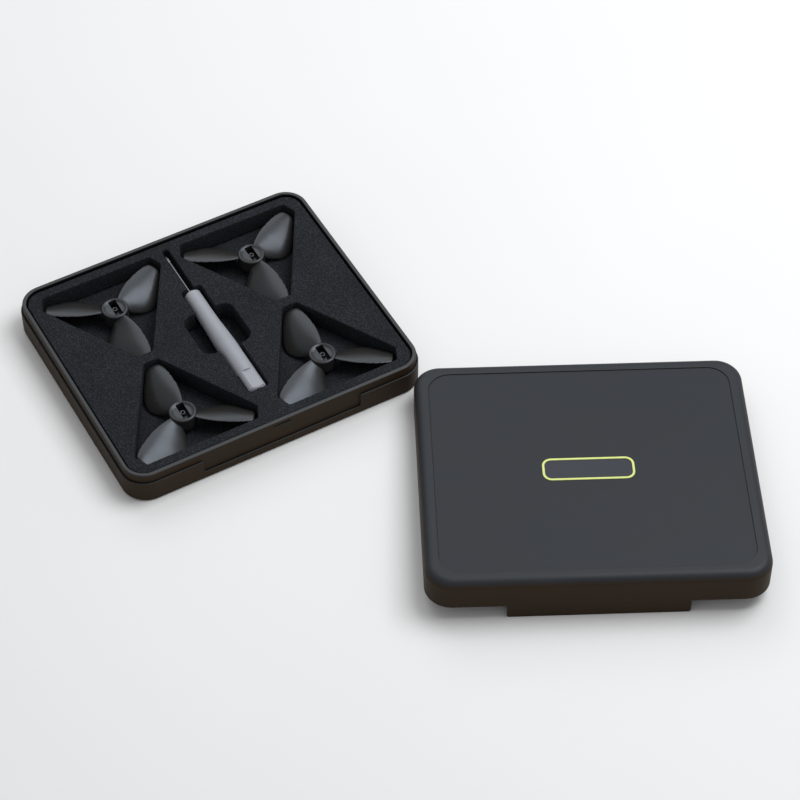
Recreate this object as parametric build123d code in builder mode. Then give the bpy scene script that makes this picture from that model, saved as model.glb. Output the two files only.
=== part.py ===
from build123d import *
import math
import os

# Hard carrying case for four three-blade 3 inch propellers and their hex driver.
# Units mm, +Z up, origin at the centre of the tray's underside, front of the case towards -Y.
# The tray stands open with its contents; the lid lies beside it, front edge resting on its closing tab.

# ---- case, closed sizes -------------------------------------------------------------------------
case_w = 175.0          # along X
case_d = 152.0          # along Y
case_r = 14.0           # vertical corner radius
case_h = 32.0           # closed height
floor_t = 1.8           # tray floor
ledge_z = 13.8          # ledge that the lid's skirt comes down to
rim_z = 19.2            # top of the tray's inner rim
rim_in = 1.15           # rim stands this far in from the outer wall
rim_t = 2.25            # rim thickness
tray_foot_r = 1.2       # rounding under the outer wall
line_w, line_depth = 0.45, 0.5      # shadow groove at the foot of the rim

tab_half = 46.5         # half width of the front recess that takes the lid's tab
tab_z = 5.2             # floor of that recess
tab_foot_r, tab_top_r = 1.2, 1.0    # its lower and upper corner radii
seam_gap = 0.15         # gap at the closed seam
skirt_t = 1.0           # lid skirt and tab thickness
catch_x, catch_half = 0.3, 5.0      # snap slot through the front of the rim
catch_z0, catch_z1 = 15.9, 17.3

# ---- foam ---------------------------------------------------------------------------------------
foam_gap = 0.7          # to the tray wall
foam_floor_z = 5.7      # top of the lower sheet
foam_top_z = 18.0       # top of the die-cut sheet
pocket_fillet = 1.2
hub_x, hub_y = 41.75, 41.9          # pocket and propeller centres
# outline of one pocket about its propeller axis, for the back row; the front row is its mirror image
pocket = [(-32.3, 24.2), (32.3, 24.2), (35.75, 16.4), (4.3, -38.7), (-4.3, -38.7), (-35.75, 16.4)]
recess_w, recess_d, recess_r = 29.6, 30.2, 6.2      # finger recess across the driver
recess_y = 0.6

# ---- driver -------------------------------------------------------------------------------------
drv_x, drv_z = 0.3, 13.0            # axis, along Y
handle_front, handle_back = 33.5, -47.5
handle_r = 5.75
flat_from = -33.6                   # the back end is cut to a square
flat_half = 5.0
shank_r = 1.1
shank_tip = 66.3
shank_root = 12.0
slot_half = 6.1
slot_floor = 7.2
slot_y0, slot_y1 = -48.1, 33.9
shank_slot_half = 1.9
shank_slot_floor = 11.6
shank_slot_end = 66.9

# ---- propellers ---------------------------------------------------------------------------------
hub_r = 7.4
hub_z0, hub_z1 = 8.6, 17.0
hub_recess_r, hub_lip_r, hub_recess_depth = 4.9, 6.4, 0.7      # dished top: floor radius, lip radius, depth
hub_slot_l, hub_slot_w, hub_slot_depth = 11.2, 4.4, 4.7
shaft_bore_r = 0.75
boss_r = 1.55
blade_z = 14.3                      # height of the blades' pitch axis
# radius, high edge (across, up), low edge (across, up), thickness; up is from the pitch axis
blade_sections = [
    (5.6, 2.9, 1.6, -4.5, -4.1, 1.7),
    (9.0, 4.0, 1.7, -7.7, -6.1, 1.5),
    (14.0, 5.3, 1.75, -12.0, -7.6, 1.3),
    (20.0, 6.0, 1.7, -12.8, -6.8, 1.15),
    (26.0, 6.1, 1.45, -10.9, -5.1, 1.0),
    (31.5, 5.6, 1.1, -7.9, -3.45, 0.85),
    (35.5, 4.9, 0.75, -5.5, -2.3, 0.75),
    (37.2, 4.0, 0.5, -4.4, -1.85, 0.7),
    (38.0, 2.6, 0.2, -3.3, -1.45, 0.65),
]

# ---- lid ----------------------------------------------------------------------------------------
lid_wall = 2.6
lid_ceiling = 29.6
lid_step_z = rim_z + 0.2
lid_top_r = 4.8
panel_in = 7.5
panel_r = 11.5
panel_recess = 1.0
panel_t = 0.6
panel_gap = 0.1
badge_w, badge_d, badge_r = 47.8, 15.1, 4.9
badge_y = -1.2
badge_stroke = 1.25
badge_depth = 0.35
liner_t = 5.6

# where the lid lies: centre, turn about Z, and the small lean that its tab gives it
lid_x, lid_y, lid_turn = 122.0, -183.0, -27.0
tab_tip_z = tab_z + seam_gap
skirt_z = ledge_z + seam_gap
lean = math.atan((skirt_z - tab_tip_z) / (case_d - skirt_t))
lid_drop = (case_d / 2 - skirt_t) * math.sin(lean) + tab_tip_z * math.cos(lean)

turn = math.radians(lid_turn)
lid_xdir = Vector(math.cos(turn), math.sin(turn), 0)
lid_back = Vector(-math.sin(turn) * math.cos(lean), math.cos(turn) * math.cos(lean), -math.sin(lean))
lid_up = lid_xdir.cross(lid_back)
lid_frame = Plane(origin=(lid_x, lid_y, -lid_drop), x_dir=lid_xdir, z_dir=lid_up)
lid_axis = Axis(lid_frame.origin, lid_up)

os.makedirs("parts", exist_ok=True)

# ---- tray ---------------------------------------------------------------------------------------
inner_w = case_w - 2 * (rim_in + rim_t)
inner_d = case_d - 2 * (rim_in + rim_t)
inner_r = case_r - rim_in - rim_t

with BuildPart() as base_tray:
    with BuildSketch(Plane.XY):
        RectangleRounded(case_w, case_d, case_r)
    extrude(amount=ledge_z)
    fillet(base_tray.faces().sort_by(Axis.Z)[0].outer_wire().edges(), tray_foot_r)
    # recess in the front wall for the lid's tab, lower corners rounded
    with BuildSketch(Plane(origin=(0, -case_d / 2 - 1, 0), x_dir=(1, 0, 0), z_dir=(0, -1, 0))) as front:
        with Locations((0, (tab_z + ledge_z + 4) / 2)):
            Rectangle(2 * tab_half, ledge_z + 4 - tab_z)
        fillet(front.vertices().group_by(Axis.Y)[0], tab_foot_r)
    extrude(amount=-(1 + rim_in), mode=Mode.SUBTRACT)
    corners = [e for e in base_tray.edges().filter_by(Axis.Y)
               if abs(abs(e.center().X) - tab_half) < 0.01 and abs(e.center().Z - ledge_z) < 0.01]
    fillet(corners, tab_top_r)
    # inner rim
    with BuildSketch(Plane.XY.offset(ledge_z)):
        RectangleRounded(case_w - 2 * rim_in, case_d - 2 * rim_in, case_r - rim_in)
    extrude(amount=rim_z - ledge_z)
    with BuildSketch(Plane.XY.offset(floor_t)):
        RectangleRounded(inner_w, inner_d, inner_r)
    extrude(amount=rim_z - floor_t, mode=Mode.SUBTRACT)
    rim_face = base_tray.faces().filter_by(Axis.Z).sort_by(Axis.Z)[-1]
    fillet(rim_face.outer_wire().edges(), 0.7)
    rim_face = base_tray.faces().filter_by(Axis.Z).sort_by(Axis.Z)[-1]
    fillet(rim_face.inner_wires()[0].edges(), 0.45)
    # shadow groove at the foot of the rim, on the ledge and in the recess
    with BuildSketch(Plane.XY.offset(ledge_z - line_depth)):
        RectangleRounded(case_w - 2 * (rim_in - line_w), case_d - 2 * (rim_in - line_w), case_r - rim_in + line_w)
        RectangleRounded(case_w - 2 * rim_in, case_d - 2 * rim_in, case_r - rim_in, mode=Mode.SUBTRACT)
    extrude(amount=line_depth, mode=Mode.SUBTRACT)
    with BuildSketch(Plane.XY.offset(tab_z - line_depth)):
        with Locations((0, -case_d / 2 + rim_in - line_w / 2)):
            Rectangle(2 * (tab_half - tab_foot_r), line_w)
    extrude(amount=line_depth, mode=Mode.SUBTRACT)
    # snap slot through the front of the rim
    with BuildSketch(Plane.XY.offset(catch_z0)):
        with Locations((catch_x, -case_d / 2 + rim_in + rim_t / 2)):
            Rectangle(2 * catch_half, rim_t + 1.0)
    extrude(amount=catch_z1 - catch_z0, mode=Mode.SUBTRACT)
base_tray.part.label = "base_tray"
export_step(base_tray.part, "parts/base_tray.step")

# ---- foam ---------------------------------------------------------------------------------------
foam_w = inner_w - 2 * foam_gap
foam_d = inner_d - 2 * foam_gap
foam_r = inner_r - foam_gap

with BuildPart() as foam_base_sheet:
    with BuildSketch(Plane.XY.offset(floor_t)):
        RectangleRounded(foam_w, foam_d, foam_r)
    extrude(amount=foam_floor_z - floor_t)
foam_base_sheet.part.label = "foam_base_sheet"
export_step(foam_base_sheet.part, "parts/foam_base_sheet.step")

places = [
    ("propeller_rear_left", -hub_x, hub_y, 1),
    ("propeller_rear_right", hub_x, hub_y, 1),
    ("propeller_front_left", -hub_x, -hub_y, -1),
    ("propeller_front_right", hub_x, -hub_y, -1),
]

with BuildPart() as foam_insert:
    with BuildSketch(Plane.XY.offset(foam_floor_z)):
        RectangleRounded(foam_w, foam_d, foam_r)
    extrude(amount=foam_top_z - foam_floor_z)
    for _, px, py, hand in places:
        with BuildSketch(Plane.XY.offset(foam_floor_z)) as hole:
            with BuildLine():
                Polyline([(px + a, py + hand * b) for a, b in pocket], close=True)
            make_face()
            fillet(hole.vertices(), pocket_fillet)
        extrude(amount=foam_top_z - foam_floor_z, mode=Mode.SUBTRACT)
    with BuildSketch(Plane.XY.offset(foam_floor_z)):
        with Locations((0, recess_y)):
            RectangleRounded(recess_w, recess_d, recess_r)
    extrude(amount=foam_top_z - foam_floor_z, mode=Mode.SUBTRACT)
    with BuildSketch(Plane.XY.offset(slot_floor)):
        with Locations((drv_x, (slot_y0 + slot_y1) / 2)):
            RectangleRounded(2 * slot_half, slot_y1 - slot_y0, 1.2)
    extrude(amount=foam_top_z - slot_floor, mode=Mode.SUBTRACT)
    with BuildSketch(Plane.XY.offset(shank_slot_floor)):
        with Locations((drv_x, (shank_slot_end + slot_y1 - 6) / 2)):
            RectangleRounded(2 * shank_slot_half, shank_slot_end - slot_y1 + 6, 1.85)
    extrude(amount=foam_top_z - shank_slot_floor, mode=Mode.SUBTRACT)
foam_insert.part.label = "foam_insert"
export_step(foam_insert.part, "parts/foam_insert.step")

# ---- propellers ---------------------------------------------------------------------------------
for name, px, py, hand in places:
    with BuildPart() as propeller:
        # hub barrel with a rounded rim and a dished top
        with BuildSketch(Plane.XY.offset(hub_z0)):
            with Locations((px, py)):
                Circle(hub_r)
        extrude(amount=hub_z1 - hub_z0)
        fillet(propeller.edges().group_by(Axis.Z)[-1], 0.7)
        fillet(propeller.edges().group_by(Axis.Z)[0], 0.5)
        # three twisted blades
        for k in range(3):
            phi = math.radians(hand * 90 + 120 * k + 180)
            rad = Vector(math.cos(phi), math.sin(phi), 0)
            tan = Vector(-math.sin(phi) * hand, math.cos(phi) * hand, 0)
            for r, ha, hz, la, lz, t in blade_sections:
                span = math.hypot(ha - la, hz - lz)
                nx, nz = -(hz - lz) / span, (ha - la) / span
                e = 0.3 * t
                mx, mz = (ha + la) / 2, (hz + lz) / 2
                over, under = 0.062 * span + t / 2, 0.062 * span - t / 2
                plane = Plane(origin=Vector(px, py, blade_z) + rad * r, x_dir=tan, z_dir=rad * hand)
                with BuildSketch(plane):
                    with BuildLine():
                        a0, a1 = (ha + nx * e, hz + nz * e), (la + nx * e, lz + nz * e)
                        b0, b1 = (la - nx * e, lz - nz * e), (ha - nx * e, hz - nz * e)
                        ThreePointArc(a0, (mx + nx * over, mz + nz * over), a1)
                        Line(a1, b0)
                        ThreePointArc(b0, (mx + nx * under, mz + nz * under), b1)
                        Line(b1, a0)
                    make_face()
            loft()
        # dished top, oblong slot, the land in its front half and the shaft boss
        with Locations((px, py, hub_z1 - hub_recess_depth / 2)):
            Cone(hub_recess_r, hub_lip_r, hub_recess_depth, mode=Mode.SUBTRACT)
        with BuildSketch(Plane.XY.offset(hub_z1 - hub_recess_depth - hub_slot_depth)):
            with Locations((px + 0.6, py)):
                RectangleRounded(hub_slot_w, hub_slot_l, 0.5)
        extrude(amount=hub_slot_depth, mode=Mode.SUBTRACT)
        with BuildSketch(Plane.XY.offset(hub_z0 + 0.5)):
            with Locations((px, py)):
                Circle(boss_r)
        extrude(amount=hub_z1 - hub_recess_depth - 0.4 - hub_z0 - 0.5)
        with BuildSketch(Plane.XY.offset(hub_z0 + 1)):
            with Locations((px + 0.15, py - hub_slot_l / 4 - 0.1)):
                Rectangle(2.1, hub_slot_l / 2 - 0.2)
        extrude(amount=hub_z1 - hub_recess_depth - 2.4 - hub_z0 - 1)
        with BuildSketch(Plane.XY.offset(hub_z0 - 1)):
            with Locations((px, py)):
                Circle(shaft_bore_r)
        extrude(amount=hub_z1 - hub_z0 + 2, mode=Mode.SUBTRACT)
    propeller.part.label = name
    export_step(propeller.part, f"parts/{name}.step")

# ---- driver -------------------------------------------------------------------------------------
side = Plane(origin=(drv_x, 0, drv_z), x_dir=(0, 1, 0), z_dir=(1, 0, 0))
drv_axis = Axis((drv_x, 0, drv_z), (0, 1, 0))

with BuildPart() as driver_handle:
    with BuildSketch(side):
        with BuildLine():
            nose = Line((handle_front, 0), (handle_front, 3.4))
            bevel = Line(nose @ 1, (handle_front - 1.5, 4.9))
            waist = Spline(bevel @ 1, (20.0, 4.9), (9.0, 4.95), (-4.0, 5.55), (-12.0, handle_r), (-22.0, handle_r),
                           tangents=[(-1, 0), (-1, 0)])
            body = Line(waist @ 1, (handle_back + 1.2, handle_r))
            tail = Line(body @ 1, (handle_back, handle_r - 1.4))
            end = Line(tail @ 1, (handle_back, 0))
            Line(end @ 1, nose @ 0)
        make_face()
    revolve(axis=drv_axis)
    # square end
    flat_len = flat_from - handle_back + 1
    for dx, dz in ((1, 0), (-1, 0), (0, 1), (0, -1)):
        with Locations((drv_x + dx * (flat_half + 2), flat_from - flat_len / 2, drv_z + dz * (flat_half + 2))):
            Box(4 if dx else 16, flat_len, 4 if dz else 16, mode=Mode.SUBTRACT)
    # bore for the shank
    with BuildSketch(Plane(origin=(drv_x, shank_root, drv_z), x_dir=(1, 0, 0), z_dir=(0, 1, 0))):
        Circle(shank_r)
    extrude(amount=handle_front - shank_root + 1, mode=Mode.SUBTRACT)
driver_handle.part.label = "driver_handle"
export_step(driver_handle.part, "parts/driver_handle.step")

with BuildPart() as driver_shank:
    with BuildSketch(Plane(origin=(drv_x, shank_root, drv_z), x_dir=(1, 0, 0), z_dir=(0, 1, 0))):
        Circle(shank_r)
    extrude(amount=shank_tip - 6 - shank_root)
    with BuildSketch(Plane(origin=(drv_x, shank_tip - 6, drv_z), x_dir=(1, 0, 0), z_dir=(0, 1, 0))):
        RegularPolygon(radius=shank_r, side_count=6)
    extrude(amount=6)
    chamfer(driver_shank.edges().group_by(Axis.Y)[-1], 0.2)
driver_shank.part.label = "driver_shank"
export_step(driver_shank.part, "parts/driver_shank.step")

# ---- lid ----------------------------------------------------------------------------------------
with BuildPart() as lid_shell:
    with BuildSketch(lid_frame.offset(skirt_z)):
        RectangleRounded(case_w, case_d, case_r)
    extrude(amount=case_h - skirt_z)
    fillet(lid_shell.faces().sort_by(lid_axis)[-1].outer_wire().edges(), lid_top_r)
    # front tab, lower corners rounded like the recess that takes it
    tab_face = Plane(origin=lid_frame.origin - lid_back * (case_d / 2), x_dir=lid_xdir, z_dir=-lid_back)
    with BuildSketch(tab_face) as tab:
        with Locations((0, (tab_tip_z + skirt_z + 1.0) / 2)):
            Rectangle(2 * (tab_half - 0.2), skirt_z + 1.0 - tab_tip_z)
        fillet(tab.vertices().group_by(Axis.Y)[0], tab_foot_r)
    extrude(amount=-skirt_t)
    # skirt, then the narrower room above the tray's rim
    with BuildSketch(lid_frame.offset(skirt_z)):
        RectangleRounded(case_w - 2 * skirt_t, case_d - 2 * skirt_t, case_r - skirt_t)
    extrude(amount=lid_step_z - skirt_z, mode=Mode.SUBTRACT)
    with BuildSketch(lid_frame.offset(lid_step_z)):
        RectangleRounded(case_w - 2 * lid_wall, case_d - 2 * lid_wall, case_r - lid_wall)
    extrude(amount=lid_ceiling - lid_step_z, mode=Mode.SUBTRACT)
    # recess for the top panel
    with BuildSketch(lid_frame.offset(case_h - panel_recess)):
        RectangleRounded(case_w - 2 * panel_in, case_d - 2 * panel_in, panel_r)
    extrude(amount=panel_recess + 0.5, mode=Mode.SUBTRACT)
    # snap bead inside the front of the skirt
    with BuildSketch(lid_frame.offset(catch_z0 + 0.2)):
        with Locations((catch_x, -case_d / 2 + skirt_t + 0.05)):
            Rectangle(2 * (catch_half - 0.4), 1.0)
    extrude(amount=catch_z1 - catch_z0 - 0.4)
lid_shell.part.label = "lid_shell"
export_step(lid_shell.part, "parts/lid_shell.step")

panel_z0 = case_h - panel_recess
panel_z1 = panel_z0 + panel_t
with BuildPart() as lid_top_panel:
    with BuildSketch(lid_frame.offset(panel_z0)):
        RectangleRounded(case_w - 2 * (panel_in + panel_gap), case_d - 2 * (panel_in + panel_gap), panel_r - panel_gap)
    extrude(amount=panel_t)
    with BuildSketch(lid_frame.offset(panel_z1 - badge_depth)):
        with Locations((0, badge_y)):
            RectangleRounded(badge_w, badge_d, badge_r)
    extrude(amount=badge_depth, mode=Mode.SUBTRACT)
lid_top_panel.part.label = "lid_top_panel"
export_step(lid_top_panel.part, "parts/lid_top_panel.step")

with BuildPart() as badge_ring:
    with BuildSketch(lid_frame.offset(panel_z1 - badge_depth)):
        with Locations((0, badge_y)):
            RectangleRounded(badge_w - 0.1, badge_d - 0.1, badge_r - 0.05)
            RectangleRounded(badge_w - 2 * badge_stroke, badge_d - 2 * badge_stroke, badge_r - badge_stroke,
                             mode=Mode.SUBTRACT)
    extrude(amount=badge_depth + 0.2)
badge_ring.part.label = "badge_ring"
export_step(badge_ring.part, "parts/badge_ring.step")

with BuildPart() as badge_plate:
    with BuildSketch(lid_frame.offset(panel_z1 - badge_depth)):
        with Locations((0, badge_y)):
            RectangleRounded(badge_w - 2 * badge_stroke - 0.1, badge_d - 2 * badge_stroke - 0.1,
                             badge_r - badge_stroke - 0.05)
    extrude(amount=badge_depth - 0.03)
badge_plate.part.label = "badge_plate"
export_step(badge_plate.part, "parts/badge_plate.step")

with BuildPart() as lid_liner_foam:
    with BuildSketch(lid_frame.offset(lid_ceiling - liner_t)):
        RectangleRounded(case_w - 2 * lid_wall - 1.6, case_d - 2 * lid_wall - 1.6, case_r - lid_wall - 0.8)
    extrude(amount=liner_t)
lid_liner_foam.part.label = "lid_liner_foam"
export_step(lid_liner_foam.part, "parts/lid_liner_foam.step")
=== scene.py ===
import bpy
import bmesh
import math
import numpy as np
from mathutils import Matrix, Vector, noise


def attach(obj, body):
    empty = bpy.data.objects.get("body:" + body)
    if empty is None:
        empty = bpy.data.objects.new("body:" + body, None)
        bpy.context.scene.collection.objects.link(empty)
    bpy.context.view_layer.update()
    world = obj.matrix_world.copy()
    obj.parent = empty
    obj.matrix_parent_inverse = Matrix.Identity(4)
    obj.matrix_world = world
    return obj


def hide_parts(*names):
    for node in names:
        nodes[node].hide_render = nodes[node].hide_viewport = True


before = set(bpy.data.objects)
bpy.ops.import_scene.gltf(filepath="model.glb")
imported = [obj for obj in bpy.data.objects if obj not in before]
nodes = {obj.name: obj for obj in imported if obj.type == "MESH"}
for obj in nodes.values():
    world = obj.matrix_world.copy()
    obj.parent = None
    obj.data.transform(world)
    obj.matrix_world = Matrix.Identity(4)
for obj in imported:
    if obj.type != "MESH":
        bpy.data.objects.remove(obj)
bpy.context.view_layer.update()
scene = bpy.context.scene
MM = 0.001

# ---------------------------------------------------------------- helpers


def link(obj):
    scene.collection.objects.link(obj)
    return obj


def evaluated_mesh(obj, name):
    deps = bpy.context.evaluated_depsgraph_get()
    deps.update()
    me = bpy.data.meshes.new_from_object(obj.evaluated_get(deps), depsgraph=deps)
    me.name = name
    return me


def smooth_faces(me):
    me.polygons.foreach_set("use_smooth", np.ones(len(me.polygons), bool))
    me.update()


def coords(me):
    co = np.zeros(len(me.vertices) * 3, np.float32)
    me.vertices.foreach_get("co", co)
    return co.reshape(-1, 3).astype(float)


def set_coords(me, co):
    me.vertices.foreach_set("co", co.astype(np.float32).ravel())
    me.update()


def vertex_normals(me):
    n = np.zeros(len(me.vertices) * 3, np.float32)
    me.vertex_normals.foreach_get("vector", n)
    return n.reshape(-1, 3).astype(float)


# ---------------------------------------------------------------- materials


class Mat:
    """A small node-tree builder: named inputs, links by socket."""

    def __init__(self, name):
        self.m = bpy.data.materials.new(name)
        self.m.use_nodes = True
        self.t = self.m.node_tree
        self.t.nodes.clear()
        self.out = self.n("ShaderNodeOutputMaterial")
        self.bsdf = self.n("ShaderNodeBsdfPrincipled")
        self.l(self.bsdf, "BSDF", self.out, "Surface")
        self.tex = self.n("ShaderNodeTexCoord")

    def n(self, kind, **kw):
        node = self.t.nodes.new(kind)
        for k, v in kw.items():
            setattr(node, k, v)
        return node

    def l(self, a, sa, b, sb):
        self.t.links.new(a.outputs[sa], b.inputs[sb])

    def set(self, **kw):
        for k, v in kw.items():
            self.bsdf.inputs[k.replace("_", " ")].default_value = v
        return self

    def noise(self, scale, detail=4.0, rough=0.5, coord="Object"):
        n = self.n("ShaderNodeTexNoise")
        n.inputs["Scale"].default_value = scale
        n.inputs["Detail"].default_value = detail
        n.inputs["Roughness"].default_value = rough
        self.l(self.tex, coord, n, "Vector")
        return n

    def voronoi(self, scale, feature="F1", randomness=1.0):
        n = self.n("ShaderNodeTexVoronoi", feature=feature)
        n.inputs["Scale"].default_value = scale
        n.inputs["Randomness"].default_value = randomness
        self.l(self.tex, "Object", n, "Vector")
        return n

    def ramp(self, src, socket, stops):
        r = self.n("ShaderNodeValToRGB")
        els = r.color_ramp.elements
        while len(els) < len(stops):
            els.new(0.5)
        for e, (pos, col) in zip(els, stops):
            e.position = pos
            e.color = (*col, 1.0) if len(col) == 3 else col
        self.l(src, socket, r, "Fac")
        return r

    def range(self, src, socket, a, b, c, d):
        r = self.n("ShaderNodeMapRange")
        for k, v in zip(("From Min", "From Max", "To Min", "To Max"), (a, b, c, d)):
            r.inputs[k].default_value = v
        self.l(src, socket, r, "Value")
        return r

    def math(self, op, a, sa, b=None, sb=None, value=None):
        m = self.n("ShaderNodeMath", operation=op)
        self.t.links.new(a.outputs[sa], m.inputs[0])
        if b is not None:
            self.t.links.new(b.outputs[sb], m.inputs[1])
        elif value is not None:
            m.inputs[1].default_value = value
        return m

    def mix(self, fac, sfac, a, b):
        """a and b are colours or (node, socket)."""
        m = self.n("ShaderNodeMix", data_type="RGBA")
        self.t.links.new(fac.outputs[sfac], m.inputs[0])
        for k, v in ((6, a), (7, b)):
            if len(v) == 3:
                m.inputs[k].default_value = (*v, 1.0)
            else:
                self.t.links.new(v[0].outputs[v[1]], m.inputs[k])
        return m

    def bump(self, src, socket, strength, distance, below=None):
        b = self.n("ShaderNodeBump")
        b.inputs["Strength"].default_value = strength
        b.inputs["Distance"].default_value = distance
        self.l(src, socket, b, "Height")
        if below is not None:
            self.l(below, "Normal", b, "Normal")
        return b

    def bevel(self, radius, samples=6):
        b = self.n("ShaderNodeBevel", samples=samples)
        b.inputs["Radius"].default_value = radius
        return b


def edge_mask(m, radius, gain):
    """1 on sharp convex and concave edges, 0 on flats: how far the rounded normal leaves the true one."""
    rounded = m.bevel(radius)
    geo = m.n("ShaderNodeNewGeometry")
    dot = m.n("ShaderNodeVectorMath", operation="DOT_PRODUCT")
    m.l(rounded, "Normal", dot, 0)
    m.l(geo, "Normal", dot, 1)
    return rounded, m.range(dot, "Value", 1.0, 0.80, 0.0, gain)


def upward(m, lo=0.25, hi=0.92):
    """0 on walls, 1 on faces that look up."""
    geo = m.n("ShaderNodeNewGeometry")
    xyz = m.n("ShaderNodeSeparateXYZ")
    m.l(geo, "Normal", xyz, "Vector")
    r = m.range(xyz, "Z", lo, hi, 0.0, 1.0)
    r.interpolation_type = "SMOOTHSTEP"
    return r


def shaded(m, distance=0.004):
    """1 in the open, 0 deep in grooves and slots."""
    ao = m.n("ShaderNodeAmbientOcclusion", samples=8)
    ao.inputs["Distance"].default_value = distance
    return m.range(ao, "AO", 0.15, 0.62, 0.0, 1.0)


def soft_plastic(name, side, top, rough=0.5, edge=(0.085, 0.092, 0.098), grain=0.5, bevel=0.0005,
                 spec_side=0.06, spec_top=0.40, edge_gain=0.35, deep=(0.0030, 0.0031, 0.0034), inside=None):
    """Soft-touch moulding with light painted into its colour: warm dark walls (painted shade and a painted warm
    reflection), a painted cooler sheen on the faces that look up, painted near-black shade in grooves, painted
    highlights on edges; spark grain.
    """
    m = Mat(name)
    cloud = m.noise(24.0, 4.0, 0.6)
    grain_n = m.noise(5200.0, 2.0, 0.6)
    cell = m.voronoi(2600.0)
    # painted light: faces that look up take the top colour as a painted cool sheen, walls take the side colour as a
    # painted warm reflection and shade
    up = upward(m)
    if inside is not None:
        # inside the rim the walls get a plain dark as painted shade, in place of the painted warm reflection outside;
        # inside = corner centres x, y and the radius
        xyz = m.n("ShaderNodeSeparateXYZ")
        m.l(m.tex, "Object", xyz, "Vector")
        ax = m.math("ABSOLUTE", xyz, "X")
        ay = m.math("ABSOLUTE", xyz, "Y")
        qx = m.math("MAXIMUM", m.math("SUBTRACT", ax, "Value", value=inside[0]), "Value", value=0.0)
        qy = m.math("MAXIMUM", m.math("SUBTRACT", ay, "Value", value=inside[1]), "Value", value=0.0)
        xx = m.math("MULTIPLY", qx, "Value", qx, "Value")
        yy = m.math("MULTIPLY", qy, "Value", qy, "Value")
        d = m.math("SQRT", m.math("ADD", xx, "Value", yy, "Value"), "Value")
        outer = m.range(d, "Value", inside[2] - 0.0002, inside[2] + 0.0002, 0.0, 1.0)
        wall = m.mix(outer, "Result", (0.0085, 0.0088, 0.0095), side)
        tone = m.mix(up, "Result", (wall, 2), top)
    else:
        tone = m.mix(up, "Result", side, top)
    mottle = m.range(cloud, "Fac", 0.3, 0.72, 0.90, 1.10)
    hsv = m.n("ShaderNodeHueSaturation")
    m.t.links.new(tone.outputs[2], hsv.inputs["Color"])
    m.l(mottle, "Result", hsv, "Value")
    # painted highlight: edges are lightened towards the edge colour
    rounded, painted_edge_highlight = edge_mask(m, bevel, edge_gain)
    lit = m.mix(painted_edge_highlight, "Result", (hsv, "Color"), edge)
    # painted shade: grooves and slots darken to near-black by ambient occlusion
    open_air = shaded(m)
    colour = m.mix(open_air, "Result", deep, (lit, 2))
    m.t.links.new(colour.outputs[2], m.bsdf.inputs["Base Color"])
    r1 = m.range(cloud, "Fac", 0.3, 0.75, rough - 0.04, rough + 0.05)
    r2 = m.range(grain_n, "Fac", 0.3, 0.7, -0.04, 0.04)
    radd = m.math("ADD", r1, "Result", r2, "Result")
    m.l(radd, "Value", m.bsdf, "Roughness")
    sp = m.range(up, "Result", 0.0, 1.0, spec_side, spec_top)
    sp2 = m.math("MULTIPLY", sp, "Result", open_air, "Result")
    m.l(sp2, "Value", m.bsdf, "Specular IOR Level")
    b1 = m.bump(cell, "Distance", grain * 0.5, 0.00004, rounded)
    b2 = m.bump(grain_n, "Fac", grain, 0.00003, b1)
    m.l(b2, "Normal", m.bsdf, "Normal")
    return m.m


def foam_material(name, dark, mid, light, scale=1500.0):
    """Open-cell foam: fine cells, torn cell walls and loose specks."""
    m = Mat(name)
    big = m.voronoi(scale)
    small = m.voronoi(scale * 2.2)
    fuzz = m.noise(scale * 1.3, 3.0, 0.7)
    cloud = m.noise(45.0, 5.0, 0.6)
    wall = m.ramp(big, "Distance", [(0.10, dark), (0.42, mid), (0.75, light)])
    speck = m.range(fuzz, "Fac", 0.58, 0.74, 0.0, 0.55)
    c1 = m.mix(speck, "Result", (wall, "Color"), light)
    shade = m.range(cloud, "Fac", 0.3, 0.7, 0.86, 1.12)
    hsv = m.n("ShaderNodeHueSaturation")
    m.t.links.new(c1.outputs[2], hsv.inputs["Color"])
    m.l(shade, "Result", hsv, "Value")
    m.l(hsv, "Color", m.bsdf, "Base Color")
    b0 = m.bump(small, "Distance", 0.5, 0.00014)
    b1 = m.bump(big, "Distance", 0.7, 0.00028, b0)
    b2 = m.bump(fuzz, "Fac", 0.4, 0.00015, b1)
    m.l(b2, "Normal", m.bsdf, "Normal")
    m.set(Roughness=0.95, Specular_IOR_Level=0.12)
    return m.m


def prop_material():
    """Moulded propeller plastic: satin, with faint flow streaks, painted highlights on its edges and painted shade in
    its hollows.
    """
    m = Mat("prop_satin")
    cloud = m.noise(70.0, 4.0, 0.6)
    fine = m.noise(2600.0, 3.0, 0.6)
    tone = m.ramp(cloud, "Fac", [(0.3, (0.0185, 0.0175, 0.0165)), (0.7, (0.0245, 0.0235, 0.0225))])
    # painted highlight: edges are lightened towards a pale grey
    rounded, painted_edge_highlight = edge_mask(m, 0.0003, 0.45)
    lit = m.mix(painted_edge_highlight, "Result", (tone, "Color"), (0.15, 0.155, 0.16))
    # painted shade: hollows darken to near-black by ambient occlusion
    colour = m.mix(shaded(m, 0.005), "Result", (0.004, 0.004, 0.0045), (lit, 2))
    m.t.links.new(colour.outputs[2], m.bsdf.inputs["Base Color"])
    r = m.range(cloud, "Fac", 0.3, 0.7, 0.29, 0.35)
    m.l(r, "Result", m.bsdf, "Roughness")
    b = m.bump(fine, "Fac", 0.22, 0.00003)
    m.l(b, "Normal", m.bsdf, "Normal")
    m.set(Specular_IOR_Level=0.50, Specular_Tint=(0.78, 0.87, 1.0, 1.0))
    return m.m


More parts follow.
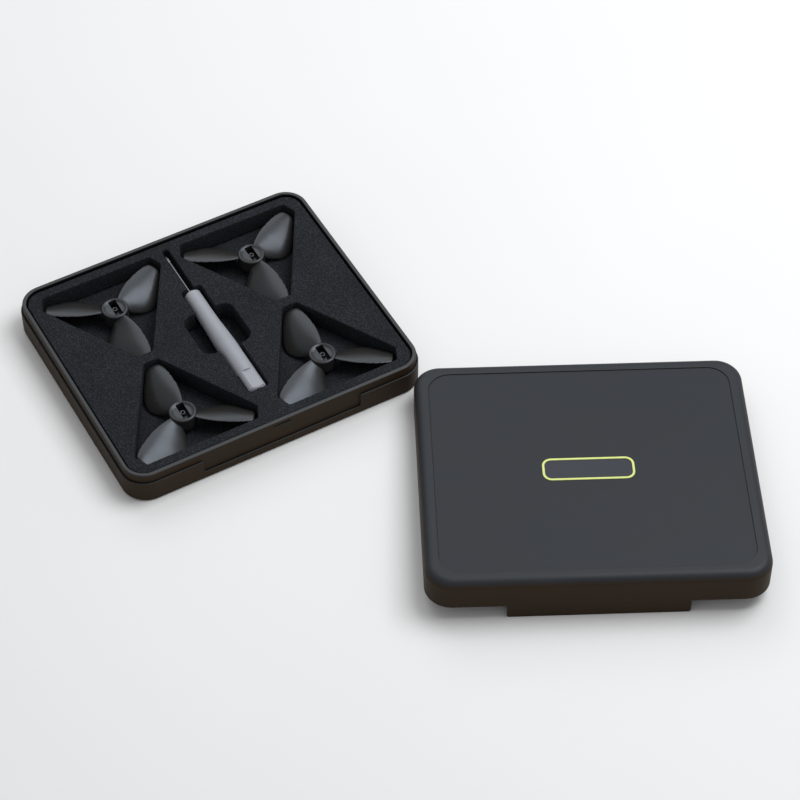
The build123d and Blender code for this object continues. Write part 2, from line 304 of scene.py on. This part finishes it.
def grip_material():
    m = Mat("driver_grip_grey")
    cloud = m.noise(55.0, 4.0, 0.6)
    fine = m.noise(4200.0, 3.0, 0.65)
    tone = m.ramp(cloud, "Fac", [(0.3, (0.273, 0.286, 0.318)), (0.7, (0.312, 0.325, 0.358))])
    speck = m.range(fine, "Fac", 0.62, 0.78, 0.0, 0.25)
    c1 = m.mix(speck, "Result", (tone, "Color"), (0.19, 0.195, 0.20))
    # painted highlight: edges are lightened towards a pale grey
    rounded, painted_edge_highlight = edge_mask(m, 0.0004, 0.30)
    colour = m.mix(painted_edge_highlight, "Result", (c1, 2), (0.46, 0.47, 0.48))
    m.t.links.new(colour.outputs[2], m.bsdf.inputs["Base Color"])
    r = m.range(fine, "Fac", 0.3, 0.7, 0.40, 0.54)
    m.l(r, "Result", m.bsdf, "Roughness")
    b = m.bump(fine, "Fac", 0.4, 0.00004, rounded)
    m.l(b, "Normal", m.bsdf, "Normal")
    m.set(Specular_IOR_Level=0.45)
    return m.m


def steel_material():
    m = Mat("driver_steel_dark")
    mapping = m.n("ShaderNodeMapping")
    mapping.inputs["Scale"].default_value = (9000.0, 120.0, 9000.0)
    m.l(m.tex, "Object", mapping, "Vector")
    n = m.n("ShaderNodeTexNoise")
    n.inputs["Scale"].default_value = 1.0
    n.inputs["Detail"].default_value = 3.0
    m.l(mapping, "Vector", n, "Vector")
    tone = m.ramp(n, "Fac", [(0.3, (0.13, 0.13, 0.135)), (0.7, (0.21, 0.21, 0.22))])
    m.l(tone, "Color", m.bsdf, "Base Color")
    r = m.range(n, "Fac", 0.3, 0.7, 0.24, 0.36)
    m.l(r, "Result", m.bsdf, "Roughness")
    b = m.bump(n, "Fac", 0.2, 0.00002, m.bevel(0.00025))
    m.l(b, "Normal", m.bsdf, "Normal")
    m.set(Metallic=1.0)
    return m.m


def accent_material():
    m = Mat("badge_chartreuse")
    cloud = m.noise(400.0, 3.0, 0.6)
    fine = m.noise(5000.0, 2.0, 0.6)
    tone = m.ramp(cloud, "Fac", [(0.3, (0.61, 0.68, 0.19)), (0.7, (0.69, 0.75, 0.24))])
    m.l(tone, "Color", m.bsdf, "Base Color")
    r = m.range(fine, "Fac", 0.3, 0.7, 0.30, 0.42)
    m.l(r, "Result", m.bsdf, "Roughness")
    b = m.bump(fine, "Fac", 0.2, 0.00002, m.bevel(0.00015))
    m.l(b, "Normal", m.bsdf, "Normal")
    return m.m


# side and top colours are painted light: a painted warm reflection and shade on walls, a painted cool sheen on faces
# that look up
case_mat = soft_plastic("case_soft_touch", (0.0335, 0.0225, 0.0140), (0.0265, 0.0300, 0.0330), inside=(0.0735, 0.0620, 0.0117))
lid_mat = soft_plastic("lid_soft_touch", (0.034, 0.0225, 0.0135), (0.0158, 0.0192, 0.0245), edge_gain=0.2, spec_top=0.30)
panel_mat = soft_plastic("panel_soft_touch", (0.012, 0.012, 0.012), (0.0150, 0.0185, 0.0240), rough=0.52, spec_top=0.28,
                         bevel=0.0003, edge_gain=0.1)
field_mat = soft_plastic("badge_field", (0.012, 0.012, 0.014), (0.0135, 0.0182, 0.0285), rough=0.42, bevel=0.0002,
                         grain=0.3, edge_gain=0.1)
foam_mat = foam_material("foam_cells", (0.007, 0.008, 0.010), (0.0125, 0.0142, 0.0172), (0.0255, 0.0285, 0.0335), 1350.0)
foam_floor_mat = foam_material("foam_floor_cells", (0.007, 0.008, 0.010), (0.0145, 0.016, 0.0195),
                               (0.026, 0.029, 0.034), 1300.0)
props_mat = prop_material()
grip_mat = grip_material()
steel_mat = steel_material()
accent_mat = accent_material()


def paint(obj, mat):
    obj.data.materials.clear()
    obj.data.materials.append(mat)


for name, mat in (
    ("base_tray", case_mat),
    ("lid_shell", lid_mat),
    ("lid_top_panel", panel_mat),
    ("badge_ring", accent_mat),
    ("badge_plate", field_mat),
    ("driver_handle", grip_mat),
    ("driver_shank", steel_mat),
):
    paint(nodes[name], mat)

# ---------------------------------------------------------------- where the lid lies

LID_X, LID_Y, LID_TURN = 122.0, -183.0, -27.0
LEAN = math.atan((13.95 - 5.35) / (152.0 - 1.0))
DROP = (152.0 / 2 - 1.0) * math.sin(LEAN) + 5.35 * math.cos(LEAN)
turn = math.radians(LID_TURN)
lid_x = Vector((math.cos(turn), math.sin(turn), 0))
lid_b = Vector((-math.sin(turn) * math.cos(LEAN), math.cos(turn) * math.cos(LEAN), -math.sin(LEAN)))
lid_u = lid_x.cross(lid_b)
LID = Matrix((
    (lid_x.x, lid_b.x, lid_u.x, LID_X * MM),
    (lid_x.y, lid_b.y, lid_u.y, LID_Y * MM),
    (lid_x.z, lid_b.z, lid_u.z, -DROP * MM),
    (0, 0, 0, 1),
))

# ---------------------------------------------------------------- foam


def foam_piece(name, node, voxel, rough, cell, mat, to_local=None, keep_bottom=True):
    """Cut foam: the sheet's own solid, remeshed finely, edges softened, its skin broken up cell by cell."""
    me = nodes[node].data.copy()
    if to_local is not None:
        me.transform(to_local)
    bm = bmesh.new()
    bm.from_mesh(me)
    bmesh.ops.remove_doubles(bm, verts=bm.verts, dist=1e-6)
    bm.to_mesh(me)
    bm.free()
    tmp = link(bpy.data.objects.new(name + "_tmp", me))
    lo = coords(me).min(0)
    hi = coords(me).max(0)
    r = tmp.modifiers.new("remesh", "REMESH")
    r.mode = "VOXEL"
    r.voxel_size = voxel
    s = tmp.modifiers.new("soften", "SMOOTH")
    s.factor = 0.5
    s.iterations = 2
    out = evaluated_mesh(tmp, name)
    bpy.data.objects.remove(tmp)
    co = coords(out)
    n = vertex_normals(out)
    d = np.array([
        noise.noise(Vector(p * cell)) * 0.6 + noise.noise(Vector(p * cell * 2.3 + 7.0)) * 0.4
        for p in co
    ])
    # cells only eat into the sheet, so it never grows past its own solid
    d = -np.clip(d + 0.12, 0, 1) * rough
    co = co + n * d[:, None]
    co = np.clip(co, lo, hi)
    set_coords(out, co)
    if to_local is not None:
        out.transform(to_local.inverted())
    smooth_faces(out)
    out.materials.clear()
    out.materials.append(mat)
    obj = link(bpy.data.objects.new(name, out))
    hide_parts(node)
    return obj


v = 0.62
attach(foam_piece("foam_die_cut_sheet", "foam_insert", v * MM, 0.00030, 1150.0, foam_mat), "tray")
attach(foam_piece("foam_floor_sheet", "foam_base_sheet", max(v, 0.8) * MM, 0.00022, 1000.0, foam_floor_mat), "tray")
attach(foam_piece("foam_lid_pad", "lid_liner_foam", max(v, 0.9) * MM, 0.00035, 900.0, foam_mat, LID.inverted()), "lid")

# ---------------------------------------------------------------- propellers

HUB_R, HUB_Z0, HUB_Z1 = 7.4, 8.6, 17.0
DISH_R, DISH_LIP, DISH_Z = 4.9, 6.4, 16.3
BLADE_Z = 14.3
# radius, high edge (across, up), low edge (across, up), thickness, cut-back of the high and low corners of the tip
BLADE = np.array([
    (6.5, 3.1, 1.55, -5.1, -4.5, 2.0, 0.0),
    (7.8, 3.55, 1.66, -6.5, -5.45, 1.7, 0.0),
    (9.0, 3.95, 1.68, -7.6, -6.05, 1.55, 0.0),
    (12.0, 4.75, 1.72, -10.4, -7.20, 1.35, 0.0),
    (16.0, 5.6, 1.74, -12.4, -7.50, 1.2, 0.0),
    (20.0, 5.95, 1.66, -12.7, -6.75, 1.1, 0.0),
    (24.0, 6.05, 1.50, -11.7, -5.65, 1.0, 0.0),
    (28.0, 5.95, 1.30, -9.9, -4.45, 0.92, 0.0),
    (31.5, 5.6, 1.10, -7.85, -3.42, 0.85, 0.0),
    (34.4, 5.1, 0.86, -6.1, -2.60, 0.80, 0.0),
    (36.4, 4.5, 0.62, -4.85, -2.05, 0.76, 0.0),
    (37.4, 3.75, 0.42, -4.0, -1.70, 0.70, 0.0),
    (37.9, 2.6, 0.15, -3.0, -1.30, 0.60, 0.0),
])


def catmull(table, count):
    """The table's rows, interpolated smoothly by its first column."""
    x = table[:, 0]
    q = np.linspace(x[0], x[-1], count)
    rows = []
    for value in q:
        i = min(max(int(np.searchsorted(x, value) - 1), 0), len(x) - 2)
        p0, p1, p2, p3 = (table[min(max(i + k, 0), len(x) - 1)] for k in (-1, 0, 1, 2))
        t = (value - x[i]) / (x[i + 1] - x[i])
        h = x[i + 1] - x[i]
        m1 = (p2 - p0) / max(p2[0] - p0[0], 1e-6) * h
        m2 = (p3 - p1) / max(p3[0] - p1[0], 1e-6) * h
        rows.append((2 * t**3 - 3 * t**2 + 1) * p1 + (t**3 - 2 * t**2 + t) * m1
                    + (-2 * t**3 + 3 * t**2) * p2 + (t**3 - t**2) * m2)
    return np.array(rows)


def blade_mesh(bm, phi, hand):
    rows = catmull(BLADE, 64)
    half = 26
    rad = np.array([math.cos(phi), math.sin(phi), 0.0])
    tan = np.array([-math.sin(phi), math.cos(phi), 0.0]) * hand
    up = np.array([0.0, 0.0, 1.0])
    loops = []
    for r, ha, hz, la, lz, t, _ in rows:
        high = tan * ha + up * hz
        low = tan * la + up * lz
        span = np.linalg.norm(high - low)
        along = (low - high) / span
        normal = up * (ha - la) / span - tan * (hz - lz) / span
        loop = []
        for side in (1, -1):
            for i in range(half):
                a = math.pi * (i + 0.5) / half
                u = 0.5 - 0.5 * math.cos(a)          # 0 at the high edge, 1 at the low edge
                if side < 0:
                    u = 1 - u
                thick = t * 0.5 * (1 - abs(2 * u - 1) ** 2.6) ** 0.5 * (1.0 - 0.3 * u)
                camber = 0.27 * span * u * (1 - u) * (1.22 - 0.44 * u)
                p = np.array([0, 0, BLADE_Z]) + rad * r + high + along * (u * span) + normal * (camber + side * thick)
                loop.append(bm.verts.new(p))
        loops.append(loop)
    for a, b in zip(loops, loops[1:]):
        k = len(a)
        for i in range(k):
            bm.faces.new((a[i], a[(i + 1) % k], b[(i + 1) % k], b[i]))
    bm.faces.new(list(reversed(loops[0])))
    bm.faces.new(loops[-1])


def lathe(bm, profile, seg=96):
    """A closed profile of (radius, z), turned about Z."""
    rings = []
    for r, z in profile:
        rings.append([bm.verts.new((r * math.cos(2 * math.pi * i / seg), r * math.sin(2 * math.pi * i / seg), z))
                      for i in range(seg)])
    for a, b in zip(rings, rings[1:] + rings[:1]):
        for i in range(seg):
            bm.faces.new((a[i], a[(i + 1) % seg], b[(i + 1) % seg], b[i]))


def arc(cx, cz, r, a0, a1, n=5):
    return [(cx + r * math.cos(math.radians(a0 + (a1 - a0) * i / n)), cz + r * math.sin(math.radians(a0 + (a1 - a0) * i / n)))
            for i in range(n + 1)]


def mesh_object(name, bm, scale=1.0):
    bmesh.ops.recalc_face_normals(bm, faces=bm.faces)
    if scale != 1.0:
        bmesh.ops.scale(bm, vec=(scale, scale, scale), verts=bm.verts)
    me = bpy.data.meshes.new(name)
    bm.to_mesh(me)
    bm.free()
    return link(bpy.data.objects.new(name, me))


def prism(name, pts, z0, z1):
    bm = bmesh.new()
    lower = [bm.verts.new((x, y, z0)) for x, y in pts]
    upper = [bm.verts.new((x, y, z1)) for x, y in pts]
    n = len(pts)
    for i in range(n):
        bm.faces.new((lower[i], lower[(i + 1) % n], upper[(i + 1) % n], upper[i]))
    bm.faces.new(list(reversed(lower)))
    bm.faces.new(upper)
    return mesh_object(name, bm)


def rounded_rect(cx, cy, w, d, r, n=5):
    pts = []
    for sx, sy, a0 in ((1, 1, 0), (-1, 1, 90), (-1, -1, 180), (1, -1, 270)):
        for k in range(n + 1):
            a = math.radians(a0 + 90 * k / n)
            pts.append((cx + sx * (w / 2 - r) + r * math.cos(a), cy + sy * (d / 2 - r) + r * math.sin(a)))
    return pts


def cut(obj, cutter):
    mod = obj.modifiers.new("cut", "BOOLEAN")
    mod.operation = "DIFFERENCE"
    mod.object = cutter
    mod.solver = "EXACT"
    me = evaluated_mesh(obj, obj.name + "_cut")
    obj.modifiers.clear()
    obj.data = me
    bpy.data.objects.remove(cutter)


def propeller_mesh(hand):
    """One moulding: three twisted blades grown into a barrel, whose dished top has a squared slot,
    a land in its front half and the shaft's boss. Units mm here."""
    parts = []
    bm = bmesh.new()
    lathe(bm, [(0.02, HUB_Z0)] + arc(HUB_R - 0.6, HUB_Z0 + 0.6, 0.6, -90, 0, 4)
          + arc(HUB_R - 0.8, HUB_Z1 - 0.8, 0.8, 0, 90, 5) + [(0.02, HUB_Z1)])
    parts.append(mesh_object("hub", bm))
    for k in range(3):
        bm = bmesh.new()
        blade_mesh(bm, math.radians(hand * 90 + 120 * k + 180), hand)
        parts.append(mesh_object("blade", bm))
    bm = bmesh.new()
    for o in parts:
        bm.from_mesh(o.data)
    body = mesh_object("body", bm)
    r = body.modifiers.new("remesh", "REMESH")
    r.mode = "VOXEL"
    r.voxel_size = 0.21
    s = body.modifiers.new("soften", "SMOOTH")
    s.factor = 0.5
    s.iterations = 5
    me = evaluated_mesh(body, "body_mesh")
    body.modifiers.clear()
    body.data = me
    for o in parts:
        bpy.data.objects.remove(o)
    # the dish: a little bevel at its lip, a short lean on its wall
    bm = bmesh.new()
    lathe(bm, [(0.02, DISH_Z), (DISH_R - 0.2, DISH_Z), (DISH_R + 0.1, DISH_Z + 0.08), (DISH_LIP - 0.25, HUB_Z1 - 0.12),
               (DISH_LIP + 0.1, HUB_Z1 + 0.02), (DISH_LIP + 0.1, HUB_Z1 + 1.0), (0.02, HUB_Z1 + 1.0)])
    cut(body, mesh_object("dish", bm))
    cut(body, prism("slot", rounded_rect(0.6, 0.0, 4.4, 11.2, 0.5), DISH_Z - 4.7, HUB_Z1 + 0.4))
    bm = bmesh.new()
    lathe(bm, [(0.02, HUB_Z0 - 1.0), (0.75, HUB_Z0 - 1.0), (0.75, HUB_Z1), (0.02, HUB_Z1)], 40)
    cut(body, mesh_object("bore", bm))
    bm = bmesh.new()
    bm.from_mesh(body.data)
    # boss and land stand in the slot as their own small shells
    lathe(bm, [(0.75, DISH_Z - 4.8), (1.5, DISH_Z - 4.8), (1.5, DISH_Z - 0.62)]
          + arc(1.28, DISH_Z - 0.62, 0.22, 0, 90, 3) + [(0.9, DISH_Z - 0.4), (0.75, DISH_Z - 0.52)], 40)
    land = prism("land", rounded_rect(0.15, -3.4, 1.9, 4.0, 0.2), DISH_Z - 4.8, DISH_Z - 2.45)
    bm.from_mesh(land.data)
    bpy.data.objects.remove(land)
    bpy.data.objects.remove(body)
    bmesh.ops.recalc_face_normals(bm, faces=bm.faces)
    me = bpy.data.meshes.new("propeller")
    bm.to_mesh(me)
    bm.free()
    me.transform(Matrix.Scale(MM, 4))
    smooth_faces(me)
    me.set_sharp_from_angle(angle=math.radians(42))
    me.materials.clear()
    me.materials.append(props_mat)
    return me


rear = propeller_mesh(1)
front = propeller_mesh(-1)
for node, body, x, y, me in (
    ("propeller_rear_left", "prop_rear_left", -41.75, 41.9, rear),
    ("propeller_rear_right", "prop_rear_right", 41.75, 41.9, rear),
    ("propeller_front_left", "prop_front_left", -41.75, -41.9, front),
    ("propeller_front_right", "prop_front_right", 41.75, -41.9, front),
):
    own = me.copy()
    own.transform(Matrix.Translation((x * MM, y * MM, 0)))
    prop = link(bpy.data.objects.new(node.replace("propeller", "prop") + "_moulding", own))
    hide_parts(node)
    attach(prop, body)

# ---------------------------------------------------------------- floor, light, camera

bm = bmesh.new()
bmesh.ops.create_grid(bm, x_segments=8, y_segments=8, size=4.0)
floor_me = bpy.data.meshes.new("floor")
bm.to_mesh(floor_me)
bm.free()
floor = link(bpy.data.objects.new("floor", floor_me))
floor.location.z = -0.0002
fm = Mat("floor_pale")
fn = fm.noise(3.0, 3.0, 0.5)
ft = fm.ramp(fn, "Fac", [(0.3, (0.80, 0.80, 0.80)), (0.7, (0.82, 0.82, 0.82))])
fm.l(ft, "Color", fm.bsdf, "Base Color")
fm.set(Roughness=0.9, Specular_IOR_Level=0.1)
paint(floor, fm.m)

world = bpy.data.worlds.new("studio")
scene.world = world
world.use_nodes = True
bg = world.node_tree.nodes["Background"]
bg.inputs["Color"].default_value = (1, 1, 1, 1)
bg.inputs["Strength"].default_value = 0.42


def area(name, pos, aim, size, power, colour=(1, 1, 1), size_y=None):
    data = bpy.data.lights.new(name, "AREA")
    data.shape = "RECTANGLE"
    data.size = size
    data.size_y = size_y or size
    data.energy = power
    data.color = colour
    obj = link(bpy.data.objects.new(name, data))
    obj.location = pos
    d = Vector(aim) - Vector(pos)
    obj.rotation_euler = d.to_track_quat("-Z", "Y").to_euler()
    return obj


centre = Vector((0.04, -0.06, 0.0))
area("key_overhead_right", centre + Vector((0.66, -0.10, 1.20)), centre, 0.85, 13.0, (0.97, 0.985, 1.0))
area("top_back", centre + Vector((0.30, 1.10, 1.25)), centre, 1.2, 7.0, (0.97, 0.985, 1.0))

cam_data = bpy.data.cameras.new("camera")
cam_data.sensor_width = 36.0
cam_data.lens = 2647.75 * 36.0 / 800.0
cam_data.clip_start = 0.05
cam_data.clip_end = 50.0
cam = link(bpy.data.objects.new("camera", cam_data))
cam.location = Vector((-0.37706, -0.87886, 1.08779))
aim = Vector((0.06484, -0.08604, 0.010))
cam.rotation_euler = (aim - cam.location).to_track_quat("-Z", "Y").to_euler()
scene.camera = cam

scene.view_settings.view_transform = "Standard"
scene.view_settings.look = "None"
scene.view_settings.exposure = 0.0
scene.view_settings.gamma = 1.0
